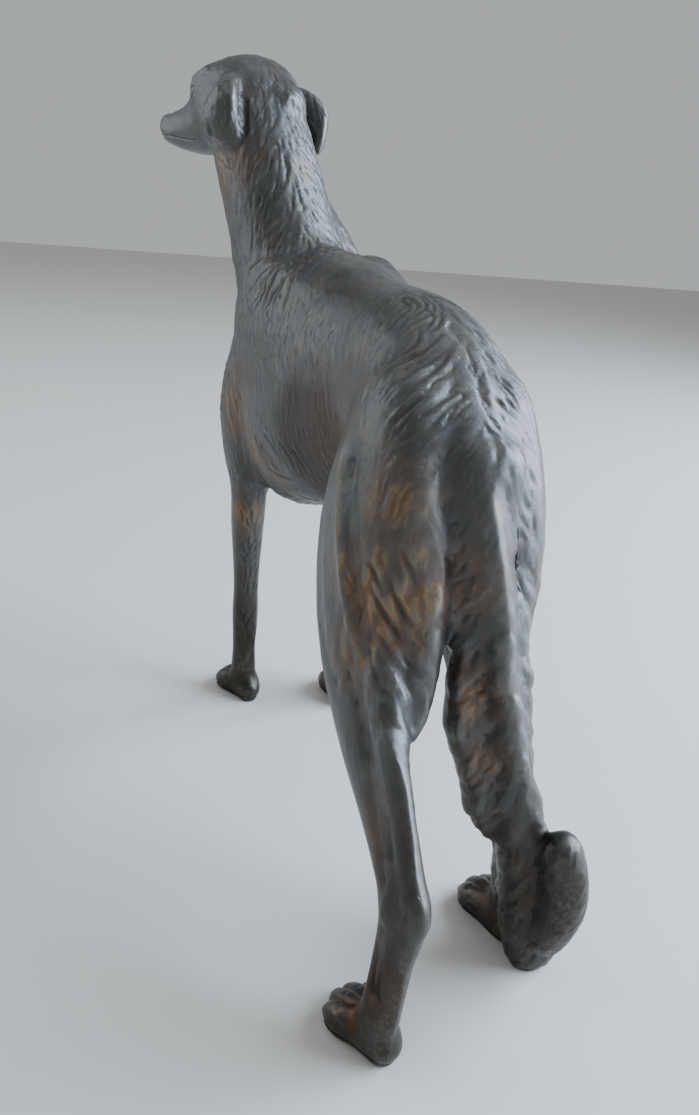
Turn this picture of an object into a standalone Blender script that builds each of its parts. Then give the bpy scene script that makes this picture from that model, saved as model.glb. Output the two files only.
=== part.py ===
"""A borzoi figurine, cast in one piece, standing on its four paws and the brush of its tail.

The dog faces +X with its left side to +Y, and turns its head to its left. The floor is Z = 0.
Places and radii of the body are shares of the height at the withers. Each body part is a lofted
tube of oval sections. The tubes are fused, smoothed, carved and cut flat under the paws.
"""
import math

import bmesh
import bpy
import numpy as np
from mathutils import Matrix, Vector

WITHERS = 0.225  # height of the shoulders above the floor, in metres

# How finely the casting is made
SECTION_SIDES = 28
STEPS_PER_STATION = 5
DOME_RINGS = 3
FUSE_VOXEL = 0.0013
BODY_SMOOTHING = 70
ALL_SMOOTHING = 5
CAST_TRIANGLES = 9500
LOCK_DEPTH = 0.0052

# The stance: where each paw's middle stands, as shares of the withers height
HIND_LEFT_PAW = (-0.872, 0.124)
HIND_RIGHT_PAW = (-0.724, -0.165)
FORE_LEFT_PAW = (0.062, 0.068)
FORE_RIGHT_PAW = (-0.004, -0.156)

# The head, carried high and turned to the dog's left
SKULL_CENTRE = (0.115, 0.096, 1.222)
HEAD_TURN = math.radians(27)
HEAD_DROP = math.radians(3)

BRONZE = (0.060, 0.052, 0.043)


def clear_scene():
    for old in list(bpy.data.objects):
        bpy.data.objects.remove(old)


def catmull_rom(before, start, end, after, share):
    """A point on the smooth curve through start and end."""
    square = share * share
    cube = square * share
    return 0.5 * (
        2 * start
        + (end - before) * share
        + (2 * before - 5 * start + 4 * end - after) * square
        + (3 * start - before - 3 * end + after) * cube
    )


def smooth_rows(rows, steps):
    """Rows of numbers, filled in between with a smooth curve through them."""
    rows = np.array(rows, float)
    first = 2 * rows[0] - rows[1]
    last = 2 * rows[-1] - rows[-2]
    padded = np.vstack([first, rows, last])
    filled = []
    for index in range(1, len(rows)):
        for step in range(steps):
            filled.append(catmull_rom(*padded[index - 1 : index + 3], step / steps))
    filled.append(rows[-1])
    return np.array(filled)


def domed(rows):
    """Sections added past both ends that close the tube with a round cap."""
    def cap(end, inner):
        outward = end[:3] - inner[:3]
        outward /= np.linalg.norm(outward)
        reach = min(end[3:6])
        rings = []
        for ring in range(1, DOME_RINGS + 1):
            angle = ring / (DOME_RINGS + 0.4) * math.pi / 2
            section = end.copy()
            section[:3] += outward * reach * math.sin(angle)
            section[3:6] *= math.cos(angle)
            rings.append(section)
        return rings

    head = cap(rows[0], rows[1])[::-1]
    tail = cap(rows[-1], rows[-2])
    return np.vstack(head + [rows] + tail)


def oval(side_radius, front_radius, back_radius, fullness):
    """Points round a section, as (sideways, frontwards). Fullness 2 is an ellipse, more is squarer."""
    points = []
    for step in range(SECTION_SIDES):
        angle = 2 * math.pi * step / SECTION_SIDES
        cos, sin = math.cos(angle), math.sin(angle)
        sideways = math.copysign(abs(cos) ** (2 / fullness), cos)
        frontwards = math.copysign(abs(sin) ** (2 / fullness), sin)
        radius = front_radius if sin > 0 else back_radius
        points.append((sideways * side_radius, frontwards * radius))
    return points


def loft(clay, stations, side=(0, 1, 0), fullness=2.0, place=None):
    """Adds a closed tube to the clay.

    A station is x, y, z, side radius, front or upper radius, back or lower radius. Side is the
    direction of the side radius. Place moves the finished tube, for parts with their own frame.
    """
    rows = domed(smooth_rows(stations, STEPS_PER_STATION))
    side = np.array(side, float)
    rings = []
    for index, row in enumerate(rows):
        ahead = rows[min(index + 1, len(rows) - 1)][:3]
        behind = rows[max(index - 1, 0)][:3]
        along = (ahead - behind) / np.linalg.norm(ahead - behind)
        across = side - along * (side @ along)
        across /= np.linalg.norm(across)
        front = np.cross(along, across)
        ring = []
        for sideways, frontwards in oval(*row[3:6], fullness):
            point = Vector(row[:3] + across * sideways + front * frontwards)
            point = place @ point if place else point
            ring.append(clay.verts.new(point * WITHERS))
        rings.append(ring)
    for lower, upper in zip(rings, rings[1:]):
        for index in range(SECTION_SIDES):
            after = (index + 1) % SECTION_SIDES
            clay.faces.new((lower[index], lower[after], upper[after], upper[index]))
    clay.faces.new(rings[0][::-1])
    clay.faces.new(rings[-1])


def trunk(clay):
    """Ribcage, tucked-up loin and croup. Each station is x, z, half width, rise above, drop below."""
    shape = [
        (-0.745, 0.795, 0.045, 0.045, 0.050),
        (-0.715, 0.800, 0.074, 0.075, 0.085),
        (-0.665, 0.812, 0.094, 0.098, 0.105),
        (-0.600, 0.834, 0.106, 0.118, 0.125),
        (-0.530, 0.852, 0.104, 0.126, 0.145),
        (-0.450, 0.850, 0.103, 0.134, 0.185),
        (-0.370, 0.830, 0.116, 0.160, 0.205),
        (-0.280, 0.805, 0.132, 0.184, 0.217),
        (-0.190, 0.785, 0.142, 0.208, 0.225),
        (-0.110, 0.770, 0.143, 0.222, 0.240),
        (-0.040, 0.757, 0.132, 0.210, 0.235),
        (0.020, 0.742, 0.116, 0.185, 0.205),
        (0.055, 0.730, 0.094, 0.150, 0.160),
        (0.085, 0.720, 0.064, 0.095, 0.100),
    ]
    loft(clay, [(x, 0, z, wide, up, down) for x, z, wide, up, down in shape], fullness=2.3)


def withers_ridge(clay):
    """The tops of the shoulder blades and the spine behind them."""
    shape = [
        (-0.420, 0.940, 0.050, 0.040, 0.060),
        (-0.330, 0.950, 0.066, 0.042, 0.070),
        (-0.230, 0.958, 0.080, 0.044, 0.080),
        (-0.140, 0.960, 0.086, 0.046, 0.090),
        (-0.070, 0.948, 0.084, 0.044, 0.100),
    ]
    loft(clay, [(x, 0, z, wide, up, down) for x, z, wide, up, down in shape])


def neck(clay):
    """A deep, furred neck, leaning to the left under the turned head."""
    loft(
        clay,
        [
            (-0.070, -0.004, 0.790, 0.120, 0.160, 0.110),
            (-0.035, 0.008, 0.870, 0.117, 0.150, 0.115),
            (-0.005, 0.028, 0.950, 0.108, 0.138, 0.116),
            (0.022, 0.049, 1.030, 0.098, 0.125, 0.108),
            (0.045, 0.069, 1.110, 0.094, 0.112, 0.098),
            (0.070, 0.084, 1.180, 0.090, 0.098, 0.090),
            (0.088, 0.090, 1.225, 0.080, 0.084, 0.080),
        ],
        side=(0.10, 1, 0),
    )


def chest_frill(clay):
    """The fringe of fur that hangs from the front of the chest and under the brisket."""
    loft(
        clay,
        [
            (0.060, 0.014, 0.930, 0.074, 0.040, 0.060),
            (0.080, 0.006, 0.840, 0.080, 0.042, 0.060),
            (0.082, 0.000, 0.740, 0.074, 0.042, 0.060),
            (0.062, 0.000, 0.640, 0.062, 0.036, 0.060),
            (0.020, 0.000, 0.570, 0.050, 0.026, 0.050),
            (-0.060, 0.000, 0.540, 0.040, 0.016, 0.040),
        ],
    )


def head_frame():
    turn = Matrix.Rotation(HEAD_TURN, 4, "Z")
    drop = Matrix.Rotation(HEAD_DROP, 4, "Y")
    return Matrix.Translation(SKULL_CENTRE) @ turn @ drop


def head(clay):
    """Long narrow skull and muzzle, along +X in the head's own frame."""
    place = head_frame()
    loft(
        clay,
        [
            (-0.090, 0, 0.000, 0.045, 0.046, 0.050),
            (-0.060, 0, 0.006, 0.070, 0.068, 0.070),
            (-0.020, 0, 0.010, 0.082, 0.080, 0.082),
            (0.030, 0, 0.010, 0.081, 0.079, 0.088),
            (0.075, 0, 0.004, 0.068, 0.070, 0.084),
            (0.110, 0, -0.010, 0.053, 0.054, 0.068),
            (0.145, 0, -0.018, 0.041, 0.042, 0.056),
            (0.180, 0, -0.022, 0.034, 0.034, 0.044),
            (0.212, 0, -0.022, 0.030, 0.029, 0.036),
            (0.231, 0, -0.022, 0.026, 0.025, 0.030),
        ],
        place=place,
        fullness=2.2,
    )
    for hand in (1, -1):
        brow(clay, place, hand)
        ear(clay, place, hand)


def brow(clay, place, hand):
    loft(
        clay,
        [
            (0.050, 0.046 * hand, 0.058, 0.020, 0.018, 0.020),
            (0.090, 0.042 * hand, 0.046, 0.019, 0.017, 0.020),
        ],
        place=place,
    )


def ear(clay, place, hand):
    """A soft ear laid back on the side of the head, broad above with its tip hanging behind."""
    loft(
        clay,
        [
            (-0.014, 0.068 * hand, 0.024, 0.016, 0.034, 0.032),
            (-0.030, 0.090 * hand, 0.012, 0.019, 0.048, 0.046),
            (-0.046, 0.110 * hand, -0.008, 0.021, 0.052, 0.050),
            (-0.060, 0.114 * hand, -0.030, 0.019, 0.044, 0.042),
            (-0.076, 0.108 * hand, -0.050, 0.013, 0.026, 0.026),
            (-0.088, 0.100 * hand, -0.064, 0.006, 0.008, 0.008),
        ],
        side=(0.25, 1.0 * hand, 0.35),
        place=place,
    )


def shoulder(clay, hand):
    """Shoulder blade and upper arm, lying on the ribs."""
    loft(
        clay,
        [
            (-0.125, 0.066 * hand, 0.950, 0.042, 0.052, 0.058),
            (-0.090, 0.085 * hand, 0.860, 0.046, 0.070, 0.074),
            (-0.045, 0.104 * hand, 0.780, 0.048, 0.080, 0.084),
            (-0.010, 0.108 * hand, 0.700, 0.048, 0.080, 0.088),
            (-0.015, 0.106 * hand, 0.620, 0.044, 0.068, 0.084),
            (-0.030, 0.102 * hand, 0.555, 0.038, 0.048, 0.070),
        ],
    )


def shoulder_blade(clay, hand):
    """The top edge of the blade. It stands highest on the right, where the neck leans from it."""
    lift = 0.0 if hand > 0 else 0.012
    loft(
        clay,
        [
            (-0.320, 0.052 * hand, 0.918 + lift, 0.044, 0.040, 0.050),
            (-0.260, 0.060 * hand, 0.934 + lift, 0.044, 0.038, 0.050),
            (-0.195, 0.072 * hand, 0.948 + lift, 0.040, 0.036, 0.055),
            (-0.130, 0.084 * hand, 0.952 + lift, 0.042, 0.038, 0.055),
            (-0.070, 0.090 * hand, 0.938 + lift, 0.040, 0.036, 0.060),
        ],
    )


def neck_ruff(clay):
    """Fur at the root of the neck on the right, stretched over the shoulder by the turn of the head."""
    loft(
        clay,
        [
            (0.060, -0.004, 1.090, 0.030, 0.040, 0.040),
            (0.030, -0.034, 1.036, 0.036, 0.050, 0.046),
            (0.000, -0.062, 0.984, 0.038, 0.054, 0.050),
            (-0.030, -0.082, 0.930, 0.040, 0.050, 0.050),
        ],
    )


def shoulder_yoke(clay):
    """The breadth of muscle and fur over the shoulders, below the neck."""
    shape = [
        (-0.280, 0.840, 0.128, 0.122, 0.120),
        (-0.190, 0.850, 0.141, 0.130, 0.120),
        (-0.100, 0.856, 0.148, 0.132, 0.120),
        (-0.030, 0.856, 0.144, 0.124, 0.120),
        (0.025, 0.842, 0.120, 0.108, 0.120),
        (0.055, 0.820, 0.085, 0.080, 0.100),
    ]
    loft(clay, [(x, 0, z, wide, up, down) for x, z, wide, up, down in shape], fullness=2.4)


def fore_leg(clay, hand, paw, turn):
    """Straight forearm, wrist and sloping pastern above a paw."""
    paw_x, paw_y = paw
    elbow_x = -0.035
    elbow_y = 0.100 * hand
    shin = [
        (0.60, 0.00, 0.040, 0.046, 0.060),
        (0.53, 0.04, 0.037, 0.043, 0.048),
        (0.45, 0.16, 0.034, 0.038, 0.038),
        (0.36, 0.36, 0.029, 0.032, 0.031),
        (0.28, 0.55, 0.027, 0.029, 0.028),
        (0.23, 0.64, 0.029, 0.032, 0.029),
        (0.18, 0.72, 0.027, 0.028, 0.027),
        (0.12, 0.82, 0.026, 0.026, 0.026),
        (0.06, 0.95, 0.029, 0.030, 0.027),
    ]
    loft(
        clay,
        [
            (
                elbow_x + (paw_x - 0.02 - elbow_x) * share,
                elbow_y + (paw_y - elbow_y) * share,
                z,
                side,
                front,
                back,
            )
            for z, share, side, front, back in shin
        ],
    )
    foot(clay, paw, turn)


def hind_leg(clay, hand, paw, hip_y, stifle, hock, turn):
    """Broad thigh, tapering second thigh, sharp hock and upright pastern above a paw."""
    paw_x, paw_y = paw
    stifle_x, stifle_y = stifle
    hock_x, hock_y = hock

    def between(share, behind=0.0):
        x = stifle_x + (hock_x - stifle_x) * share + behind
        return x, stifle_y + (hock_y - stifle_y) * share

    loft(
        clay,
        [
            (-0.640, hip_y - 0.034 * hand, 0.850, 0.060, 0.090, 0.090),
            (-0.645, hip_y - 0.020 * hand, 0.770, 0.062, 0.125, 0.118),
            (-0.648, hip_y - 0.008 * hand, 0.690, 0.061, 0.142, 0.128),
            (-0.650, hip_y, 0.610, 0.056, 0.140, 0.126),
            (*between(0.00), 0.540, 0.049, 0.112, 0.110),
            (*between(0.08), 0.475, 0.042, 0.088, 0.092),
            (*between(0.32), 0.405, 0.035, 0.063, 0.062),
            (*between(0.66), 0.345, 0.029, 0.046, 0.046),
            (*between(0.90), 0.300, 0.028, 0.038, 0.039),
            (*between(1.00), 0.262, 0.028, 0.034, 0.036),
            (hock_x + 0.003, hock_y + (paw_y - hock_y) * 0.3, 0.200, 0.025, 0.029, 0.033),
            (hock_x + 0.008, hock_y + (paw_y - hock_y) * 0.6, 0.120, 0.024, 0.028, 0.031),
            ((hock_x + paw_x) / 2 - 0.010, paw_y, 0.060, 0.028, 0.032, 0.030),
        ],
    )
    loft(
        clay,
        [
            (*between(0.16, -0.030), 0.580, 0.030, 0.040, 0.040),
            (*between(0.36, -0.024), 0.500, 0.026, 0.038, 0.038),
            (*between(0.58, -0.020), 0.430, 0.021, 0.034, 0.026),
            (*between(0.78, -0.020), 0.370, 0.018, 0.030, 0.020),
            (*between(0.96, -0.018), 0.318, 0.018, 0.026, 0.020),
            (*between(1.00, -0.022), 0.282, 0.019, 0.022, 0.020),
            (*between(1.00, -0.014), 0.235, 0.017, 0.020, 0.018),
        ],
    )
    foot(clay, paw, turn)


def thigh_fringe(clay, path):
    """Long fur down the back of a thigh, ending in a point above the hock."""
    loft(clay, path)


def foot(clay, paw, turn):
    """A hare foot: the pad block and four arched toes."""
    frame = Matrix.Translation((paw[0], paw[1], 0)) @ Matrix.Rotation(turn, 4, "Z")
    loft(
        clay,
        [
            (-0.046, 0, 0.030, 0.028, 0.026, 0.040),
            (-0.014, 0, 0.036, 0.036, 0.032, 0.050),
            (0.020, 0, 0.032, 0.038, 0.026, 0.045),
        ],
        place=frame,
    )
    for reach, aside in ((0.030, -0.034), (0.046, -0.012), (0.046, 0.012), (0.030, 0.034)):
        loft(
            clay,
            [
                (-0.010, aside * 0.7, 0.034, 0.013, 0.020, 0.030),
                (reach * 0.6, aside, 0.032, 0.014, 0.020, 0.034),
                (reach + 0.010, aside * 1.06, 0.021, 0.013, 0.016, 0.026),
            ],
            place=frame,
        )


def tail(clay):
    """The tail hangs against the right hock, its brush on the floor and its tip curled up."""
    # The bony ridge down its back
    loft(
        clay,
        [
            (-0.660, 0.004, 0.860, 0.060, 0.050, 0.050),
            (-0.710, 0.008, 0.825, 0.050, 0.050, 0.044),
            (-0.748, 0.006, 0.765, 0.040, 0.050, 0.036),
            (-0.772, -0.006, 0.690, 0.033, 0.050, 0.030),
            (-0.784, -0.020, 0.620, 0.030, 0.050, 0.027),
            (-0.794, -0.040, 0.540, 0.030, 0.050, 0.026),
            (-0.802, -0.064, 0.450, 0.029, 0.060, 0.027),
            (-0.808, -0.088, 0.370, 0.029, 0.050, 0.028),
            (-0.814, -0.110, 0.300, 0.034, 0.046, 0.030),
            (-0.826, -0.132, 0.210, 0.042, 0.048, 0.034),
            (-0.828, -0.156, 0.120, 0.048, 0.052, 0.036),
            (-0.822, -0.180, 0.024, 0.044, 0.046, 0.034),
        ],
    )
    # The feathering that fills in towards the hind legs
    loft(
        clay,
        [
            (-0.730, 0.022, 0.720, 0.028, 0.040, 0.026),
            (-0.762, 0.004, 0.640, 0.030, 0.036, 0.026),
            (-0.774, -0.012, 0.550, 0.031, 0.034, 0.026),
            (-0.780, -0.016, 0.460, 0.034, 0.034, 0.026),
            (-0.784, -0.026, 0.395, 0.028, 0.026, 0.020),
        ],
    )
    loft(
        clay,
        [
            (-0.782, -0.034, 0.460, 0.028, 0.030, 0.024),
            (-0.788, -0.048, 0.380, 0.036, 0.034, 0.026),
            (-0.792, -0.064, 0.315, 0.036, 0.032, 0.026),
            (-0.794, -0.084, 0.260, 0.024, 0.022, 0.018),
        ],
    )
    # Fur that closes the space between the tail and the back of the right leg
    loft(
        clay,
        [
            (-0.742, -0.060, 0.600, 0.034, 0.040, 0.050),
            (-0.752, -0.078, 0.520, 0.034, 0.040, 0.050),
            (-0.764, -0.092, 0.440, 0.032, 0.038, 0.046),
            (-0.780, -0.104, 0.360, 0.028, 0.032, 0.040),
        ],
    )
    # The tip, curled back up behind the brush
    loft(
        clay,
        [
            (-0.850, -0.172, 0.090, 0.034, 0.040, 0.034),
            (-0.874, -0.172, 0.150, 0.035, 0.036, 0.036),
            (-0.882, -0.163, 0.215, 0.034, 0.034, 0.034),
            (-0.876, -0.148, 0.274, 0.030, 0.030, 0.028),
        ],
        side=(0.3, 1, 0),
    )


def model_clay():
    """All the tubes of the dog, still overlapping, as one helper object."""
    clay = bmesh.new()
    trunk(clay)
    withers_ridge(clay)
    shoulder_yoke(clay)
    neck(clay)
    neck_ruff(clay)
    chest_frill(clay)
    head(clay)
    for hand in (1, -1):
        shoulder(clay, hand)
        shoulder_blade(clay, hand)
    fore_leg(clay, 1, FORE_LEFT_PAW, 0.20)
    fore_leg(clay, -1, FORE_RIGHT_PAW, -0.20)
    hind_leg(clay, 1, HIND_LEFT_PAW, 0.097, (-0.660, 0.106), (-0.918, 0.118), 0.25)
    hind_leg(clay, -1, HIND_RIGHT_PAW, -0.084, (-0.640, -0.098), (-0.780, -0.118), -0.05)
    thigh_fringe(
        clay,
        [
            (-0.735, 0.066, 0.720, 0.032, 0.050, 0.040),
            (-0.755, 0.064, 0.620, 0.034, 0.050, 0.038),
            (-0.775, 0.064, 0.530, 0.028, 0.044, 0.030),
            (-0.800, 0.072, 0.470, 0.016, 0.024, 0.014),
            (-0.812, 0.078, 0.440, 0.005, 0.008, 0.006),
        ],
    )
    tail(clay)
    mesh = bpy.data.meshes.new("clay")
    clay.to_mesh(mesh)
    clay.free()
    return bpy.data.objects.new("clay", mesh)


def evaluated_mesh(model):
    bpy.context.view_layer.update()
    graph = bpy.context.evaluated_depsgraph_get()
    return bpy.data.meshes.new_from_object(model.evaluated_get(graph))


def ramp(value, low, high):
    """0 below low, 1 above high, smooth in between."""
    share = min(1.0, max(0.0, (value - low) / (high - low)))
    return share * share * (3 - 2 * share)


def soft_share(point):
    """How far a point's place is smoothed: the trunk most, the legs a little, head and paws not."""
    x, y, z = point / WITHERS
    above_legs = ramp(z, 0.42, 0.56)
    below_head = 1 - ramp(z, 1.08, 1.16)
    before_tail = max(ramp(x, -0.80, -0.74), ramp(z, 0.60, 0.72))
    on_leg = ramp(z, 0.09, 0.14) * 0.22
    return max(above_legs * below_head * before_tail, on_leg * below_head)


def fused(clay, helpers):
    """The tubes fused into one skin, with the seams between the large masses smoothed away."""
    remesh = clay.modifiers.new("fuse", "REMESH")
    remesh.mode = "VOXEL"
    remesh.voxel_size = FUSE_VOXEL
    skin = bpy.data.objects.new("skin", evaluated_mesh(clay))
    skin.hide_render = True
    skin.display_type = "WIRE"
    helpers.objects.link(skin)
    soft = skin.vertex_groups.new(name="soft")
    for vertex in skin.data.vertices:
        soft.add([vertex.index], soft_share(vertex.co), "REPLACE")
    masses = skin.modifiers.new("masses", "SMOOTH")
    masses.factor = 0.5
    masses.iterations = BODY_SMOOTHING
    masses.vertex_group = "soft"
    overall = skin.modifiers.new("overall", "SMOOTH")
    overall.factor = 0.5
    overall.iterations = ALL_SMOOTHING
    return evaluated_mesh(skin)


def lock_relief(across, along, width, length):
    """Rows of overlapping pointed locks, from -0.35 in the partings to 0.65 on the crests."""
    column = across / width + 0.3 * np.sin(along / length * 2.1)
    index = np.floor(column)
    reach = np.mod(along / length + np.mod(index * 0.618, 1.0), 1.0)
    crest = np.sin(np.pi * (column - index))
    return crest * np.minimum(1.0, (1.0 - reach) * 5.0) * (0.4 + 0.6 * reach) - 0.35


def between_ramps(value, start, full, fade, end):
    """A smooth window: 0 up to start, 1 from full to fade, 0 again from end."""
    rise = np.clip((value - start) / (full - start), 0, 1)
    fall = np.clip((end - value) / (end - fade), 0, 1)
    return rise * rise * (3 - 2 * rise) * fall * fall * (3 - 2 * fall)


def carve_locks(mesh):
    """Locks of fur on the tail's brush, the backs of the thighs, the chest and the neck's ruff."""
    count = len(mesh.vertices)
    place = np.empty(count * 3)
    normal = np.empty(count * 3)
    mesh.vertices.foreach_get("co", place)
    mesh.vertices.foreach_get("normal", normal)
    place = place.reshape(-1, 3)
    normal = normal.reshape(-1, 3)
    x, y, z = place.T / WITHERS
    depth = np.zeros(count)

    # On the tail they fan out to both sides of the ridge, which leans to the right going down
    ridge = np.interp(z, [0.0, 0.12, 0.30, 0.45, 0.62, 0.80], [-0.18, -0.15, -0.11, -0.06, -0.02, 0.0])
    brush = between_ramps(z, 0.02, 0.07, 0.62, 0.74) * between_ramps(-x, 0.75, 0.775, 2, 3)
    brush = brush * between_ramps(y, -0.4, -0.3, 0.035, 0.05)
    brush = brush * (1 - 0.7 * between_ramps(-x, 0.84, 0.86, 2, 3))
    aside = np.abs(y - ridge)
    relief = lock_relief(aside * 0.86 + z * 0.50, aside * 0.5 - z * 0.86, 0.026, 0.100)
    depth += LOCK_DEPTH * brush * relief

    # On the thighs they hang down and back
    backs = between_ramps(-x, 0.66, 0.73, 2, 3) * between_ramps(z, 0.44, 0.48, 0.62, 0.72)
    backs = backs * between_ramps(np.abs(y), 0.045, 0.060, 1, 2)
    relief = lock_relief(x * 0.8 + y * 0.6 + z * 0.2, -z - x * 0.3, 0.026, 0.110)
    depth += LOCK_DEPTH * 0.7 * backs * relief

    # On the chest and throat they hang straight down
    frill = between_ramps(x, 0.03, 0.07, 2, 3) * between_ramps(z, 0.50, 0.55, 0.98, 1.06)
    relief = lock_relief(y - 0.01 + 0.2 * x, -z, 0.030, 0.120)
    depth += LOCK_DEPTH * 0.8 * frill * relief

    # Round the base of the neck they lie back over the shoulders
    ruff = between_ramps(z - 0.5 * x, 0.90, 0.94, 1.00, 1.06) * between_ramps(x, -0.16, -0.12, 0.02, 0.06)
    relief = lock_relief(y * 1.2 + z * 0.2, -x * 0.7 - z * 0.7, 0.030, 0.100)
    depth += LOCK_DEPTH * 0.6 * ruff * relief

    place = place + normal * depth[:, None] * WITHERS
    mesh.vertices.foreach_set("co", place.ravel())


def outer_skin_only(mesh):
    """The outside kept, and any pocket left between overlapping tubes filled in."""
    form = bmesh.new()
    form.from_mesh(mesh)
    unseen = set(form.verts)
    largest = []
    while unseen:
        shell = [unseen.pop()]
        for vertex in shell:
            for edge in vertex.link_edges:
                neighbour = edge.other_vert(vertex)
                if neighbour in unseen:
                    unseen.remove(neighbour)
                    shell.append(neighbour)
        if len(shell) > len(largest):
            largest = shell
    kept = set(largest)
    bmesh.ops.delete(form, geom=[vertex for vertex in form.verts if vertex not in kept], context="VERTS")
    form.to_mesh(mesh)
    form.free()


def stand_on_floor(mesh):
    """Everything below the floor cut away, leaving flat soles."""
    form = bmesh.new()
    form.from_mesh(mesh)
    everything = form.verts[:] + form.edges[:] + form.faces[:]
    cut = bmesh.ops.bisect_plane(
        form, geom=everything, plane_co=(0, 0, 0), plane_no=(0, 0, 1), clear_inner=True
    )
    rims = [item for item in cut["geom_cut"] if isinstance(item, bmesh.types.BMEdge)]
    bmesh.ops.holes_fill(form, edges=rims)
    bmesh.ops.triangulate(form, faces=form.faces[:])
    form.to_mesh(mesh)
    form.free()


def lighten(model):
    """Fewer triangles, closest together where the form bends most."""
    collapse = model.modifiers.new("lighten", "DECIMATE")
    collapse.decimate_type = "COLLAPSE"
    collapse.ratio = CAST_TRIANGLES / len(model.data.polygons)
    collapse.use_collapse_triangulate = True
    return evaluated_mesh(model)


def centred(mesh):
    """The mesh moved so its box is centred over the origin, and how far it moved."""
    flat = 0.3 * FUSE_VOXEL
    for vertex in mesh.vertices:
        if vertex.co.z < flat:
            vertex.co.z = 0.0
    xs = [vertex.co.x for vertex in mesh.vertices]
    ys = [vertex.co.y for vertex in mesh.vertices]
    shift = Vector((-(min(xs) + max(xs)) / 2, -(min(ys) + max(ys)) / 2, 0))
    mesh.transform(Matrix.Translation(shift))
    return shift


def bronze_finish():
    finish = bpy.data.materials.new("patinated_bronze")
    finish.use_nodes = True
    shader = finish.node_tree.nodes["Principled BSDF"]
    shader.inputs["Base Color"].default_value = (*BRONZE, 1)
    shader.inputs["Metallic"].default_value = 0.85
    shader.inputs["Roughness"].default_value = 0.42
    finish.diffuse_color = (*BRONZE, 1)
    return finish


def main():
    clear_scene()
    parts = bpy.data.collections.new("borzoi_figurine")
    helpers = bpy.data.collections.new("helpers")
    bpy.context.scene.collection.children.link(parts)
    bpy.context.scene.collection.children.link(helpers)
    clay = model_clay()
    clay.hide_render = True
    clay.display_type = "WIRE"
    helpers.objects.link(clay)
    cast = fused(clay, helpers)
    outer_skin_only(cast)
    carve_locks(cast)
    stand_on_floor(cast)
    rough = bpy.data.objects.new("rough_cast", cast)
    rough.hide_render = True
    rough.display_type = "WIRE"
    helpers.objects.link(rough)
    light = lighten(rough)
    shift = centred(light)
    light.materials.clear()
    light.materials.append(bronze_finish())
    for face in light.polygons:
        face.use_smooth = True
    dog = bpy.data.objects.new("borzoi", light)
    parts.objects.link(dog)
    guide = bpy.data.objects.new("stance_origin", None)
    guide.location = shift
    guide.hide_render = True
    helpers.objects.link(guide)


main()
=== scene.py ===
"""The borzoi figurine: the coat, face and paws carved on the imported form, in dark patinated bronze."""

import math
from functools import partialmethod
from itertools import product

import bpy
import numpy as np
from mathutils import Matrix, Vector
from mathutils.kdtree import KDTree


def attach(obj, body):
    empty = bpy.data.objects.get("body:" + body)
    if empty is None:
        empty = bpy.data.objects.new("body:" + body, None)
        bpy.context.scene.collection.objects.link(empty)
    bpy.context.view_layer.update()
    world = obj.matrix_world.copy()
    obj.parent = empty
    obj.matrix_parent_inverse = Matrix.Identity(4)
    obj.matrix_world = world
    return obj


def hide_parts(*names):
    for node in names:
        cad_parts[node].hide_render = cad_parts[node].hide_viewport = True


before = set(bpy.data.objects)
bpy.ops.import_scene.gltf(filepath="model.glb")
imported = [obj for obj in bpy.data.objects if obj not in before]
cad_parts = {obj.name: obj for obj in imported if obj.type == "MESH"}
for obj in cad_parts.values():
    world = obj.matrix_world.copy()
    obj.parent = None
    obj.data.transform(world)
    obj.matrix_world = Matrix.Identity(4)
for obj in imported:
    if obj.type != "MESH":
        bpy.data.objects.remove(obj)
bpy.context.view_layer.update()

# Height of the shoulders in metres, and where the floor point below them lies in this frame.
# Places on the animal are given as shares of that height, +X forward, +Y to its left.
WITHERS = 0.225
STANCE = np.array((0.069238, -0.000500, 0.0))

# The fine skin that the carving is cut into, the triangles it is brought down to, the height
# below which a point is laid on the floor, and the seed of the coat
SKIN_VOXEL = 0.00052
FACET_SMOOTHING = 22
SKIN_SWELL = 0.00012
TRIANGLES = 196000
SOLE_HEIGHT = 0.0005
SEED = 7

# Depth in metres at which a cut in the form, and one in the coat, is as dark as it gets
DARK_FORM_CUT = 0.0012
DARK_COAT_CUT = 0.00040

# How far each toe reaches forward of the paw's centre, and how far it lies to the left
TOES = ((0.030, -0.036), (0.046, -0.0125), (0.046, 0.0125), (0.030, 0.036))

MM = 0.001

# Look-up of the skin's points: the side of a cell in metres, what a step along each axis adds
# to a cell's number, and how many points there are to one in the sparse tree
CELL = 0.0030
CELL_WEIGHTS = np.array((1, 4096, 4096**2), np.int64)
AROUND = np.array(list(product((-1, 0, 1), repeat=3)))
NEIGHBOURS = AROUND @ CELL_WEIGHTS
TREE_STRIDE = 3


def spot(x, y, z):
    return np.array((x, y, z)) * WITHERS + STANCE


def rows_of(*rows, hand=1):
    """Rows given in thousandths of the shoulder height, for the left or mirrored to the right."""
    return np.array(rows) / 1000 * (1, hand, 1)


def lines_of(*lines):
    return [rows_of(*line) for line in lines]


def fade(low, high, value):
    """0 at low and 1 at high, with a smooth rise between them."""
    share = np.clip((value - low) / (high - low), 0.0, 1.0)
    return share * share * (3.0 - 2.0 * share)


def bell(value, centre, width):
    return np.exp(-(((value - centre) / width) ** 2))


def unit(rows):
    return rows / np.maximum(np.linalg.norm(rows, axis=-1, keepdims=True), 1e-9)


def standing(place, turn):
    """A frame at a place, turned about the upright."""
    return Matrix.Translation(place) @ Matrix.Rotation(turn, 4, "Z")


def apply(matrix, rows):
    square = np.array(matrix)
    return np.asarray(rows, float) @ square[:3, :3].T + square[:3, 3]


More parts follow.
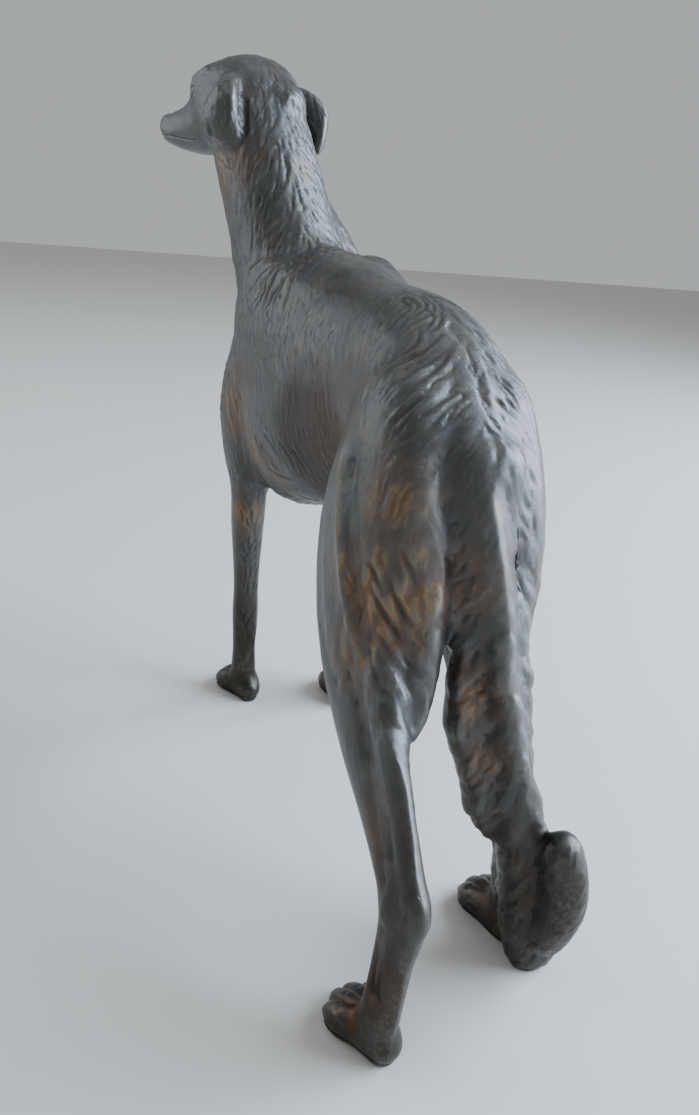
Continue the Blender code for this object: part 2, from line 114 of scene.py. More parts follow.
# The frames of the head and of the paws on the floor: left and right hind, left and right fore
HEAD = standing((0.115, 0.096, 1.222), math.radians(27)) @ Matrix.Rotation(math.radians(3), 4, "Y")
HEAD_BACK = HEAD.inverted()
PAWS = (
    standing((-0.872, 0.124, 0.0), 0.25),
    standing((-0.724, -0.165, 0.0), -0.05),
    standing((0.062, 0.068, 0.0), 0.20),
    standing((-0.004, -0.156, 0.0), -0.20),
)


def read_rows(items, name, kind, width):
    """One property of many mesh items, as a row of numbers for each."""
    values = np.empty(len(items) * width, kind)
    items.foreach_get(name, values)
    return values.reshape(-1, width)


def points_of(mesh):
    return read_rows(mesh.vertices, "co", np.float32, 3)


def write_mask(mesh, name, values):
    """A number for each point, which the patina reads by its name."""
    layer = mesh.attributes.new(name, "FLOAT", "POINT")
    layer.data.foreach_set("value", values.astype(np.float32))


def bake_modifiers(piece):
    """Puts the mesh that the modifiers give in place of the piece's own."""
    depsgraph = bpy.context.evaluated_depsgraph_get()
    mesh = bpy.data.meshes.new_from_object(piece.evaluated_get(depsgraph))
    piece.modifiers.clear()
    piece.data = mesh
    return mesh


class Skin:
    def __init__(self, mesh):
        self.mesh = mesh
        self.points = points_of(mesh).astype(np.float64)
        # Depth of the cuts and height of the ridges that are laid out and not yet carved
        self.store = np.zeros((2, len(self.points)))
        self.refresh()

    def refresh(self):
        """Writes the points to the mesh and reads the normals back."""
        self.mesh.vertices.foreach_set("co", self.points.astype(np.float32).ravel())
        self.mesh.update()
        self.normals = read_rows(self.mesh.vertex_normals, "vector", np.float32, 3).astype(np.float64)

    def shares(self):
        """The points as shares of the shoulder height."""
        return (self.points - STANCE) / WITHERS

    def push(self, distance):
        """Moves each point along its normal."""
        self.points += self.normals * distance[:, None]
        self.refresh()

    def index_cells(self):
        """Sorts the points into cubic cells, each known by one number."""
        self.low = self.points.min(axis=0) - 2 * CELL
        keys = self.keys(self.points)
        order = np.argsort(keys, kind="stable")
        found, first = np.unique(keys[order], return_index=True)
        last = np.append(first[1:], len(order))
        self.cells = {int(k): order[a:b] for k, a, b in zip(found, first, last)}

    def keys(self, rows):
        return np.floor((rows - self.low) / CELL).astype(np.int64) @ CELL_WEIGHTS

    def near(self, path):
        """Indices of the points in the cells round a path."""
        wanted = (self.keys(path)[:, None] + NEIGHBOURS[None, :]).ravel()
        picked = [self.cells[k] for k in set(wanted.tolist()) if k in self.cells]
        return np.concatenate(picked) if picked else np.empty(0, np.int64)

    def index_tree(self):
        """A sparse tree of points, for sliding a path along the surface."""
        self.sparse = np.arange(0, len(self.points), TREE_STRIDE)
        self.tree = KDTree(len(self.sparse))
        for place, index in enumerate(self.sparse.tolist()):
            self.tree.insert(self.points[index], place)
        self.tree.balance()

    def slide(self, rows):
        """Drops each row onto the surface. Gives the places and the normals there."""
        picks = self.sparse[[self.tree.find(row)[1] for row in rows.tolist()]]
        normals = self.normals[picks]
        off = np.einsum("ij,ij->i", rows - self.points[picks], normals)
        return rows - normals * off[:, None], normals


def line_distance(rows, line, places=False):
    """Distance of each row from a line, and if asked how far along the line it lies, from 0 to 1."""
    line = np.asarray(line, float)
    lengths = np.linalg.norm(np.diff(line, axis=0), axis=1)
    before = np.concatenate(([0.0], np.cumsum(lengths)))
    best = np.full(len(rows), 1e9)
    along = np.zeros(len(rows))
    for k, (a, b) in enumerate(zip(line[:-1], line[1:])):
        run = b - a
        share = np.clip(((rows - a) @ run) / (run @ run), 0.0, 1.0)
        gap = np.linalg.norm(rows - a - share[:, None] * run, axis=1)
        nearer = gap < best
        best[nearer] = gap[nearer]
        along[nearer] = (before[k] + share[nearer] * lengths[k]) / before[-1]
    return (best, along) if places else best


def ridge(skin, line, width, height, facing, crisp=False, open_ends=False):
    """Raises a soft or a crisp ridge along a line, on the side of the form that faces one way."""
    line = np.array(line, float)
    shares = skin.shares()
    low = line.min(axis=0) - 4 * width
    high = line.max(axis=0) + 4 * width
    near = np.flatnonzero(np.all((shares > low) & (shares < high), axis=1))
    gap, along = line_distance(shares[near], line, places=True)
    ends = 1.0 if open_ends else fade(0.0, 0.15, along) * fade(1.0, 0.85, along)
    facing = np.array(facing) / np.linalg.norm(facing)
    side = fade(0.05, 0.4, skin.normals[near] @ facing)
    distance = np.zeros(len(shares))
    section = np.exp(-gap / width) if crisp else bell(gap, 0.0, width)
    distance[near] = height * section * ends * side
    skin.push(distance * WITHERS)


def add_object(name, data):
    obj = bpy.data.objects.new(name, data)
    bpy.context.scene.collection.objects.link(obj)
    return obj


def fine_skin():
    """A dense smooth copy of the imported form."""
    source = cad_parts["borzoi"]
    piece = add_object("carved_borzoi", source.data.copy())
    remesh = piece.modifiers.new("skin", "REMESH")
    remesh.mode = "VOXEL"
    remesh.voxel_size = SKIN_VOXEL
    smooth = piece.modifiers.new("facets", "SMOOTH")
    smooth.factor = 0.5
    smooth.iterations = FACET_SMOOTHING
    return piece, Skin(bake_modifiers(piece))


def cut_along(skin, path, normals, width, depth, lift, profile="leaf"):
    """Cuts one groove along a path, with a low ridge thrown up on one side of it."""
    picks = skin.near(path)
    if not len(picks):
        return
    start = path[:-1]
    run = path[1:] - start
    length2 = np.maximum((run**2).sum(axis=1), 1e-14)
    away = skin.points[picks][:, None, :] - start[None, :, :]
    share = np.clip(np.einsum("ijk,jk->ij", away, run) / length2, 0.0, 1.0)
    off = away - share[:, :, None] * run[None, :, :]
    gap = (off**2).sum(axis=2)
    best = gap.argmin(axis=1)
    rows = np.arange(len(picks))
    off = off[rows, best]
    along = (best + share[rows, best]) / len(run)
    facing = np.einsum("ij,ij->i", skin.normals[picks], normals[best])
    side = np.cross(normals[best], unit(run)[best])
    across = np.sqrt(gap[rows, best])
    signed = np.where(np.einsum("ij,ij->i", off, side) < 0, -across, across)
    keep = (across < width * 3.2) & (facing > 0.25)
    if not keep.any():
        return
    picks, along, signed = picks[keep], along[keep], signed[keep]
    if profile == "leaf":
        taper = np.sqrt(np.clip(np.sin(math.pi * along**0.75), 0.0, 1.0))
    else:
        taper = fade(0.0, 0.12, along) * fade(1.0, 0.88, along)
    cut, raised = skin.store
    cut[picks] = np.maximum(cut[picks], depth * taper * bell(signed, 0.0, width))
    raised[picks] = np.maximum(raised[picks], lift * taper * bell(signed, 1.7 * width, width))


def curve_through(rows, steps):
    """A smooth curve through places, with a number of steps between each two."""
    ends = np.vstack((2 * rows[0] - rows[1], rows, 2 * rows[-1] - rows[-2]))
    dense = []
    for k in range(len(rows) - 1):
        p, q, r, s = ends[k : k + 4]
        for t in np.arange(steps) / steps:
            bend = (2 * p - 5 * q + 4 * r - s) * t**2 + (3 * q - p - 3 * r + s) * t**3
            dense.append(0.5 * (2 * q + (r - p) * t + bend))
    dense.append(rows[-1])
    return np.array(dense)


def neighbour_mean(rows, a, b):
    """The mean of each row's neighbours, which the ends a and b of the edges name."""
    count = len(rows)
    degree = np.maximum(np.bincount(a, minlength=count) + np.bincount(b, minlength=count), 1)
    total = [np.bincount(a, rows[b, k], count) + np.bincount(b, rows[a, k], count) for k in range(3)]
    return np.stack(total, 1) / degree[:, None]


def soften(skin, chosen, rounds):
    """Averages the chosen points with their neighbours a number of times."""
    a, b = read_rows(skin.mesh.edges, "vertices", np.int32, 2).T
    inside = chosen[a] | chosen[b]
    near, places = np.unique(np.concatenate((a[inside], b[inside])), return_inverse=True)
    a, b = np.split(places, 2)
    rows = skin.points[near]
    free = chosen[near]
    for _ in range(rounds):
        rows[free] += 0.5 * (neighbour_mean(rows, a, b) - rows)[free]
    skin.points[near] = rows
    skin.refresh()


def score(skin, points, width, depth, lift=0.0, matrix=None, steps=5, profile="line"):
    """Cuts a longer line through places given as shares, slid onto the surface."""
    rows = np.array(points, float)
    if matrix is not None:
        rows = apply(matrix, rows)
    path, normals = skin.slide(curve_through(rows, steps) * WITHERS + STANCE)
    cut_along(skin, path, normals, width * MM, depth * MM, lift * MM, profile)


def mound(local, centre, radii):
    """A soft round weight about a centre in a local frame."""
    reach = (((local - np.array(centre)) / np.array(radii)) ** 2).sum(axis=1)
    return np.exp(-reach)


# Swellings and hollows of the face in the head's frame: height, centre on the left, and radii,
# in thousandths. The temple is hollow, and the cheek is full behind the mouth.
SIDE_MOUNDS = (
    (-4.5, (98, 54, 12), (26, 30, 20)),
    (-3.0, (35, 74, 40), (30, 30, 22)),
    (3.5, (30, 80, -30), (40, 30, 30)),
    (2.5, (198, 26, -34), (30, 20, 14)),
)
NOSE_MOUNDS = (
    (4.0, (236, 0, -8), (18, 22, 14)),
    (-2.5, (214, 0, 6), (10, 30, 12)),
    (-3.0, (236, 0, -34), (12, 18, 8)),
)


def model_face(skin):
    """Sockets, eyes and lids, nose and chin, in the head's own frame."""
    head = apply(HEAD_BACK, skin.shares())
    distance = np.zeros(len(head))
    for hand, mounds in ((1, SIDE_MOUNDS), (-1, SIDE_MOUNDS), (1, NOSE_MOUNDS)):
        for height, centre, radii in mounds:
            centre, radii = rows_of(centre, radii, hand=hand)
            distance += height / 1000 * mound(head, centre, radii)
    skin.push(distance * WITHERS)
    for hand in (1, -1):
        model_eye(skin, hand)
        model_ear(skin, hand)


def ear_fold(hand):
    """The line where the front edge of an ear meets the head, in the head's frame."""
    return rows_of((-10, 84, 44), (-4, 92, 12), (-18, 100, -18), (-48, 98, -46), hand=hand)


def model_ear(skin, hand):
    """A full upper ear over the hollow of its turned-in lower half."""
    soften(skin, line_distance(skin.shares(), apply(HEAD, ear_fold(hand))) < 0.014, 50)
    facing = HEAD.to_3x3() @ Vector((-0.5, 0.85 * hand, 0.0))
    full = rows_of((-50, 104, 20), (-58, 106, 0), (-64, 106, -14), hand=hand)
    ridge(skin, apply(HEAD, full), 0.020, 0.0080, facing)
    hollow = rows_of((-34, 116, -42), (-56, 112, -47), (-78, 104, -44), hand=hand)
    ridge(skin, apply(HEAD, hollow), 0.012, -0.0120, facing)


def model_eye(skin, hand):
    """An almond eye between raised lids."""
    local = apply(eye_matrix(hand).inverted(), skin.shares())
    near = (np.abs(local[:, 0]) < 0.035) & (np.abs(local[:, 1]) < 0.03) & (np.abs(local[:, 2]) < 0.03)
    a, b = local[near, 0], local[near, 1]
    half, rise = 0.0190, 0.0078
    arch = rise * (1.0 - (a / half) ** 2)
    inside = np.abs(b) - arch
    ends = fade(half * 1.35, half * 0.9, np.abs(a))
    ball = np.sqrt(np.clip(1.0 - (a / 0.0200) ** 2 - (b / 0.0120) ** 2, 0.0, 1.0))
    move = 0.0034 * ball * (inside < 0)
    move += 0.0024 * bell(inside, 0.0042, 0.0038) * ends
    move -= 0.0018 * bell(inside, 0.0002, 0.0015) * ends
    distance = np.zeros(len(local))
    distance[near] = move
    skin.push(distance * WITHERS)


def eye_matrix(hand):
    """The eye's frame: X from the inner corner back to the outer, Y up the lid, Z outward."""
    outward = Vector((0.42, 0.82 * hand, 0.34)).normalized()
    back = Vector((-0.90, 0.26 * hand, 0.34))
    back = (back - outward * back.dot(outward)).normalized()
    up = outward.cross(back)
    if up.z < 0:
        up = -up
    centre = Vector((0.090, 0.0555 * hand, 0.026))
    frame_rows = Matrix((back, up, outward)).transposed().to_4x4()
    return HEAD @ Matrix.Translation(centre) @ frame_rows


# Scored lines on the left of the face in the head's frame, in thousandths, each with its width,
# depth and lift in millimetres and its steps
MOUTH = (
    (243, 3, -36),
    (236, 18, -37),
    (212, 31, -40),
    (180, 36, -45),
    (148, 43, -52),
    (118, 55, -60),
    (100, 63, -62),
)
FACE_LINES = (
    # Mouth and jaw
    (MOUTH, (0.50, 0.75, 0.10, 5)),
    (((90, 70, -50), (55, 82, -62), (20, 88, -58)), (1.30, 0.30, 0.0, 5)),
    # Nostril and its wing
    (((252, 8.5, -12), (245, 16.5, -12)), (0.75, 1.15, 0.2, 3)),
    (((245, 16.5, -12), (232, 23.5, -8)), (0.45, 0.55, 0.0, 3)),
    # Cheek and the inner corner of the eye
    (((118, 50, 6), (150, 36, 2), (185, 26, -1)), (1.5, 0.22, 0.0, 5)),
    (((106, 46, 20), (122, 40, 11)), (0.45, 0.40, 0.0, 3)),
)


def score_face(skin):
    """Mouth, nostrils, furrows, and the folds and edges of the ears."""
    for hand in (1, -1):
        for line, (width, depth, lift, steps) in FACE_LINES:
            score(skin, rows_of(*line, hand=hand), width, depth, lift, HEAD, steps)
        score(skin, ear_fold(hand), 1.20, 0.40, 0.10, HEAD)
    rear_edge = rows_of((9, 130, 1236), (0, 131, 1218), (-14, 133, 1195), (-22, 136, 1168))
    score(skin, rear_edge, 1.10, 0.60, 0.45)
    front_edge = rows_of((30, 190, 1232), (34, 196, 1205), (40, 193, 1178), (40, 182, 1156))
    score(skin, front_edge, 1.10, 0.35, 0.20)
    lip_furrow = rows_of((254, 0, -6), (252, 0, -24), (244, 0, -35))
    score(skin, lip_furrow, 0.40, 0.50, 0.0, HEAD)
    brow_furrow = rows_of((130, 0, 40), (85, 0, 72), (40, 0, 92))
    score(skin, brow_furrow, 2.0, 0.32, 0.0, HEAD)


def score_paws(skin):
    """The clefts between the four toes of a paw, and the crease across each toe."""
    for matrix in PAWS:
        for aside in (-0.0235, 0.0, 0.0235):
            cleft = [
                (-0.004, aside * 0.75, 0.064),
                (0.022, aside * 0.95, 0.054),
                (0.050 - abs(aside) * 0.45, aside, 0.040),
                (0.062 - abs(aside) * 0.55, aside * 1.05, 0.022),
                (0.060 - abs(aside) * 0.55, aside * 1.05, 0.006),
            ]
            score(skin, cleft, 0.95, 0.60, 0.1, matrix)
        for reach, aside in TOES:
            crease = [
                (reach * 0.72, aside - 0.010, 0.046),
                (reach * 0.80, aside, 0.054),
                (reach * 0.72, aside + 0.010, 0.046),
            ]
            score(skin, crease, 0.75, 0.32, 0.0, matrix, steps=4)


def model_paws(skin):
    """Round toes with claws, and the line where the pads meet them."""
    shares = skin.shares()
    toes = np.zeros(len(shares), bool)
    for matrix in PAWS:
        local = apply(matrix.inverted(), shares)
        x, y, z = local.T
        toes |= (np.hypot(x - 0.01, y) < 0.085) & (z < 0.080) & (z > 0.010)
    soften(skin, toes, 70)
    shares = skin.shares()
    distance = np.zeros(len(shares))
    for matrix in PAWS:
        local = apply(matrix.inverted(), shares)
        for reach, aside in TOES:
            tip = (reach + 0.026, aside * 1.06, 0.019)
            distance += 0.0045 * mound(local, tip, (0.012, 0.0052, 0.0070))
            distance += 0.0016 * mound(local, (reach * 0.7, aside, 0.052), (0.014, 0.010, 0.012))
        foot = fade(0.095, 0.075, np.hypot(local[:, 0], local[:, 1]))
        distance -= 0.0030 * foot * bell(local[:, 2], 0.0125, 0.0042)
    skin.push(distance * WITHERS)


# Where the knee and hock of each hind leg stand, for the left (1) and the right (-1)
STIFLE_AND_HOCK = {
    1: ((-0.660, 0.106), (-0.918, 0.118)),
    -1: ((-0.640, -0.098), (-0.780, -0.118)),
}


def score_limbs(skin):
    """Tendons of the hocks, and the edges of the muscles."""
    for hand, (stifle, hock) in STIFLE_AND_HOCK.items():
        for face in (1, -1):
            rows = []
            for share, z in ((0.20, 0.520), (0.42, 0.450), (0.64, 0.390), (0.84, 0.338), (0.97, 0.300)):
                x = stifle[0] + (hock[0] - stifle[0]) * share - 0.004
                y = stifle[1] + (hock[1] - stifle[1]) * share + 0.040 * face
                rows.append((x, y, z))
            score(skin, rows, 1.7, 0.55, 0.10)
            rows = [(hock[0] + 0.004, hock[1] + 0.04 * face, z) for z in (0.235, 0.17, 0.10)]
            score(skin, rows, 1.5, 0.40, 0.05)
        edge = [
            (stifle[0] + 0.10, stifle[1] + 0.06 * hand, 0.70),
            (stifle[0] + 0.075, stifle[1] + 0.06 * hand, 0.62),
            (stifle[0] + 0.02, stifle[1] + 0.06 * hand, 0.53),
            (stifle[0] - 0.06, stifle[1] + 0.05 * hand, 0.45),
        ]
        score(skin, edge, 3.2, 0.45, 0.0)


# Lines on the form that are raised, scored or worn
THIGH_RIDGE = rows_of(
    (-609, 127, 815), (-631, 140, 760), (-660, 148, 701), (-686, 149, 641), (-719, 145, 583),
    (-753, 137, 534),
)
HEEL_TENDON = rows_of(
    (-799, 132, 501), (-835, 121, 463), (-867, 113, 417), (-905, 115, 370), (-935, 119, 335),
    (-955, 118, 300), (-957, 119, 262), (-955, 120, 190),
)
PASTERN_RIDGE = rows_of(
    (-950, 124, 335), (-953, 122, 280), (-951, 122, 239), (-941, 120, 142), (-937, 120, 70),
    (-937, 120, 0),
)
TAIL_RIDGE = rows_of(
    (-773, 18, 815), (-786, 6, 755), (-799, -8, 693), (-810, -27, 614), (-820, -37, 530),
    (-825, -55, 483), (-832, -72, 414), (-838, -104, 341),
)
TAIL_FEATHER_EDGE = rows_of(
    (-779, 26, 767), (-796, 12, 693), (-809, -6, 614), (-817, -18, 529), (-820, -31, 482),
    (-825, -50, 412), (-835, -82, 342),
)
TAIL_RIGHT_EDGE = rows_of(
    (-802, -52, 608), (-820, -60, 530), (-821, -81, 477), (-828, -95, 409), (-833, -125, 334),
)
CURL_LINE = rows_of((-850, -172, 90), (-882, -163, 215), (-876, -148, 274))
BESIDE_TAIL = rows_of((-755, -26, 850), (-768, -36, 760), (-773, -50, 680), (-779, -66, 560))
TAIL_LINE = rows_of(
    (-690, 6, 845), (-748, 6, 765), (-784, -20, 620), (-802, -64, 450), (-814, -110, 300),
    (-828, -156, 120), (-822, -180, 24),
)


def moved(line, x=0.0, y=0.0, z=0.0):
    """A line set over by a step."""
    return [(a + x, b + y, c + z) for a, b, c in line]


def other_hind(line):
    """A line on the left hind leg carried over to the right one, which stands further forward."""
    (left_stifle, _), (left_hock, _) = STIFLE_AND_HOCK[1]
    rows = []
    for x, y, z in line:
        share = min(max((left_stifle - x) / (left_stifle - left_hock), 0.0), 1.0)
        rows.append((x + 0.02 + 0.125 * share, -y * 0.96, z))
    return rows


def model_limbs(skin):
    """The ridge of the tail, the edges of the thighs, and the bones and tendons of the hocks."""
    back = (-1.0, 0.0, 0.1)
    ridge(skin, TAIL_RIDGE, 0.017, 0.0140, back)
    ridge(skin, CURL_LINE, 0.020, 0.0040, (-0.6, -0.8, 0.0))
    ridge(skin, BESIDE_TAIL, 0.022, 0.0130, (-0.7, -0.7, 0.2))
    for hand, carry in ((1, list), (-1, other_hind)):
        ridge(skin, carry(THIGH_RIDGE), 0.014, 0.0075, (-0.5, 0.9 * hand, 0.1), crisp=True)
        hollow = moved(THIGH_RIDGE, -0.032, 0.0, 0.0)
        ridge(skin, carry(hollow), 0.016, -0.0060, (-0.7, 0.7 * hand, 0.1))
        ridge(skin, carry(HEEL_TENDON), 0.013, 0.0095, back, crisp=True)
        ridge(skin, carry(PASTERN_RIDGE), 0.012, 0.0080, (-0.8, -0.4 * hand, 0.0), crisp=True)
        beside = moved(PASTERN_RIDGE, 0.036, 0.018)
        ridge(skin, carry(beside), 0.010, 0.0060, (-0.3, hand, 0.0), crisp=True)
        heel = carry(rows_of((-955, 117, 304), (-957, 117, 292)))
        ridge(skin, heel, 0.024, 0.0050, back, open_ends=True)
        # The flat planes of bone on the outside of the hock and shank
        for line in lines_of(
            ((-870, 146, 390), (-900, 146, 330)),
            ((-918, 146, 270), (-918, 146, 200), (-918, 146, 120)),
        ):
            ridge(skin, carry(line), 0.012, -0.0042, (0.0, hand, 0.0))
            ridge(skin, carry(moved(line, 0.0, -0.055)), 0.012, -0.0036, (0.0, -hand, 0.0))


# Single cuts that stand out on the figure, as lines of places
SHOULDER_CUTS = lines_of(
    ((-164, 110, 971), (-154, 122, 948), (-163, 127, 928), (-153, 138, 899)),
    ((-139, 118, 965), (-120, 125, 949), (-103, 132, 930)),
    ((-211, 104, 960), (-210, 111, 944), (-210, 119, 927), (-219, 127, 906)),
    ((-204, 110, 950), (-197, 119, 932), (-198, 127, 916), (-190, 133, 903)),
    ((-146, 126, 937), (-146, 132, 920), (-130, 139, 901)),
    ((-232, 100, 958), (-238, 108, 940), (-247, 116, 918)),
    ((-85, 120, 971), (-68, 128, 955), (-64, 133, 934)),
    ((-178, 112, 962), (-176, 120, 940), (-180, 128, 912)),
)
FLANK_NICKS = lines_of(
    ((-338, 100, 919), (-332, 105, 909)),
    ((-366, 98, 918), (-362, 102, 908)),
    ((-384, 96, 918), (-380, 101, 905)),
    ((-431, 94, 912), (-417, 100, 893)),
    ((-441, 96, 906), (-437, 99, 893)),
)
LOIN_ARCS = lines_of(
    ((-540, 40, 969), (-560, 40, 965), (-563, 52, 958)),
    ((-532, 34, 972), (-551, 32, 970), (-571, 43, 961), (-572, 50, 957)),
    ((-547, 28, 972), (-567, 30, 967), (-581, 40, 960)),
    ((-546, 17, 974), (-565, 16, 970), (-581, 26, 964), (-588, 40, 958)),
    ((-543, 11, 975), (-573, 10, 968), (-596, 25, 959), (-602, 53, 946)),
    ((-582, 24, 964), (-600, 21, 959), (-616, 32, 949), (-625, 44, 941)),
    ((-608, 13, 957), (-623, 25, 948), (-628, 37, 942)),
)
RUMP_SWEEPS = lines_of(
    ((-620, 46, 940), (-639, 59, 926), (-635, 76, 914), (-628, 90, 904)),
    ((-640, 30, 938), (-651, 52, 923), (-651, 78, 907), (-645, 96, 896)),
    ((-662, 28, 926), (-669, 52, 912), (-677, 82, 898), (-676, 102, 884)),
    ((-665, 25, 924), (-679, 43, 909), (-691, 69, 896), (-697, 94, 880)),
    ((-714, 35, 882), (-718, 52, 875), (-723, 71, 864), (-722, 86, 854)),
    ((-719, 28, 878), (-723, 45, 869), (-729, 62, 855)),
    ((-686, 58, 901), (-696, 76, 891), (-697, 96, 877)),
    ((-701, 84, 884), (-700, 99, 868), (-696, 110, 856)),
    ((-712, 84, 871), (-710, 99, 856), (-708, 108, 845)),
)
RIGHT_RUMP_CUTS = lines_of(
    ((-691, -26, 904), (-707, -40, 889), (-719, -53, 874)),
    ((-692, -33, 902), (-708, -49, 887), (-716, -61, 873)),
    ((-686, -19, 909), (-699, -29, 897)),
    ((-720, -17, 880), (-730, -34, 864), (-733, -53, 849)),
    ((-716, -33, 881), (-725, -45, 868), (-726, -58, 860)),
    ((-740, -7, 856), (-747, -19, 843), (-748, -32, 835)),
    ((-743, 6, 852), (-750, -1, 844), (-752, -11, 839)),
)
THIGH_LOCKS = lines_of(
    ((-765, 128, 590), (-792, 107, 548), (-799, 90, 521)),
    ((-740, 136, 645), (-768, 114, 602), (-781, 98, 579)),
    ((-760, 122, 668), (-774, 100, 618), (-786, 86, 600)),
    ((-733, 136, 674), (-749, 129, 653), (-760, 120, 633)),
    ((-790, 122, 545), (-814, 103, 505), (-813, 91, 479)),
    ((-765, 110, 705), (-776, 93, 668), (-783, 82, 643)),
    ((-755, 134, 560), (-780, 122, 530), (-800, 108, 500)),
)
NAPE_CUTS = lines_of(
    ((-11, 42, 1212), (-20, 30, 1187), (-37, 28, 1162)),
    ((-43, 38, 1160), (-40, 26, 1150), (-38, 16, 1143)),
    ((-61, 33, 1125), (-56, 16, 1114)),
    ((-55, 2, 1120), (-60, -18, 1098), (-66, -26, 1075)),
    ((-40, -4, 1150), (-46, -22, 1128)),
)
BRISKET_LOCKS = lines_of(
    ((-132, 129, 656), (-137, 119, 627), (-130, 108, 601)),
    ((-179, 131, 675), (-190, 121, 647), (-203, 111, 628)),
    ((-234, 129, 694), (-269, 118, 676), (-281, 108, 654)),
    ((-293, 120, 697), (-318, 110, 681), (-325, 101, 663)),
    ((-338, 111, 698), (-355, 101, 682), (-363, 93, 668)),
    ((-204, 109, 625), (-239, 101, 624), (-283, 94, 631)),
    ((-210, 126, 668), (-232, 115, 645), (-252, 104, 636)),
)
ELBOW_CUTS = lines_of(
    ((-41, 153, 750), (-63, 146, 703), (-89, 131, 654)),
    ((-74, 147, 750), (-110, 140, 721), (-153, 137, 694)),
    ((-77, 136, 647), (-84, 128, 615), (-69, 132, 574)),
    ((-34, 153, 712), (-50, 148, 667), (-68, 138, 626)),
)


def longer(lines, share):
    """Lines drawn out at both ends by a share of their end stretches."""
    drawn = []
    for line in lines:
        rows = np.array(line)
        head = rows[0] + share * (rows[0] - rows[1])
        tip = rows[-1] + 1.5 * share * (rows[-1] - rows[-2])
        drawn.append([head, *rows, tip])
    return drawn


def mirrored(lines, reach):
    """Lines carried over to the right side, closer in or further out by a share."""
    return [[(x, -reach * y, z) for x, y, z in line] for line in lines]


def score_marks(skin):
    """The single cuts, and the edges of the tail's ridge."""
    shoulder = longer(SHOULDER_CUTS, 0.9)
    brisket = longer(BRISKET_LOCKS, 0.25)
    right_thigh = [other_hind(line) for line in THIGH_LOCKS]
    for lines, width, depth, lift in (
        (shoulder, 1.15, 0.48, 0.46),
        (mirrored(shoulder, 1.0), 1.05, 0.50, 0.50),
        (FLANK_NICKS, 0.60, 0.42, 0.20),
        (longer(LOIN_ARCS, 0.3), 0.85, 0.42, 0.52),
        (longer(RUMP_SWEEPS, 0.3), 0.90, 0.38, 0.48),
        (RIGHT_RUMP_CUTS, 0.60, 0.42, 0.28),
        (longer(NAPE_CUTS, 0.2), 0.70, 0.40, 0.36),
        (brisket, 1.30, 0.46, 0.40),
        (mirrored(brisket, 0.95), 1.30, 0.42, 0.36),
        (ELBOW_CUTS, 1.25, 0.24, 0.22),
        (mirrored(ELBOW_CUTS, 0.95), 1.25, 0.22, 0.20),
        (THIGH_LOCKS, 1.45, 0.42, 0.34),
        (right_thigh, 1.45, 0.42, 0.34),
    ):
        for line in lines:
            score(skin, line, width, depth, lift, profile="leaf")
    score(skin, TAIL_FEATHER_EDGE, 1.8, 0.20, 0.0)
    score(skin, TAIL_RIGHT_EDGE, 1.3, 0.40, 0.0)


def lead(way, weight, *target):
    """Leads the hair toward another way, by a weight from 0 to 1."""
    target = np.stack(np.broadcast_arrays(*target, weight)[:3], 1)
    way += (target - way) * weight[:, None]


def head_share(head, edge):
    """How far each place belongs to the head, fading out to the sides from an edge inward."""
    share = fade(-0.105, -0.055, head[:, 0]) * fade(edge, 0.11, np.abs(head[:, 1]))
    return share * fade(-0.13, -0.10, head[:, 2])


def flow(shares, normals):
    """Which way the hair lies at each place, before it is laid flat on the surface."""
    x, y, z = shares.T
    nx, ny, nz = normals.T
    side = np.tanh(ny / 0.22)
    head = apply(HEAD_BACK, shares)
    zero = np.zeros(len(x))

    on_top = fade(0.15, 0.80, nz)
    rump = fade(-0.42, -0.62, x)
    # Back and flanks
    way = np.stack((-0.30 - 0.70 * on_top - 0.15 * rump, 0.85 * side * on_top, -1.0 + 0.85 * on_top), 1)
    # Over the rump it sweeps out to the left, and back and out to the right
    turn = np.tanh(ny / 0.15)
    left, right = np.maximum(turn, 0), np.maximum(-turn, 0)
    over = rump * fade(0.05, 0.35, nz)
    lead(way, over, -0.9 + 0.6 * left + 0.2 * right, 1.1 * left - 0.65 * right, -0.35 - 0.25 * left)
    # Shoulder and the root of the neck
    withers = fade(-0.18, -0.06, x) * fade(0.80, 0.88, z)
    way += withers[:, None] * np.stack((0.35 * on_top, 0.75 * side, zero), 1)
    # Neck: down from the crest to both sides
    rear = fade(0.5, -0.3, nx)
    lead(way, fade(0.93, 1.02, z), -0.25, -0.18 + 0.60 * side * rear, -1.0)
    # Head: back from the nose
    down = -0.35 - 0.3 * fade(0.0, -0.05, head[:, 2])
    local = np.stack((zero - 1.0, 0.30 * np.sign(head[:, 1]), down), 1)
    lead(way, head_share(head, 0.15), *(local @ np.array(HEAD)[:3, :3].T).T)
    # Belly
    lead(way, fade(-0.35, -0.7, nz) * fade(0.42, 0.5, z), -0.9, 0.0, -0.4)
    # Chest
    chest = fade(0.15, 0.5, nx) * fade(0.02, 0.06, x) * fade(1.0, 0.9, z)
    lead(way, chest, 0.0, -0.25 * side, -1.0)
    # Thighs
    thigh = fade(-0.50, -0.56, x) * fade(0.74, 0.62, z) * (np.abs(y) > 0.03)
    back_edge = fade(-0.1, -0.7, nx)
    lead(way, thigh, -0.42 + 0.1 * back_edge, -0.60 * np.sign(y) * back_edge, -0.9)
    # Tail
    lead(way, tail_share(shares), 0.3 * np.abs(ny), -0.20 + 0.55 * side, -1.0)
    return way


def tail_share(shares):
    """How far each place belongs to the tail and its feathers."""
    below = fade(0.86, 0.80, shares[:, 2])
    right = shares[:, 1] < 0.052
    return fade(0.085, 0.060, line_distance(shares, TAIL_LINE)) * below * right


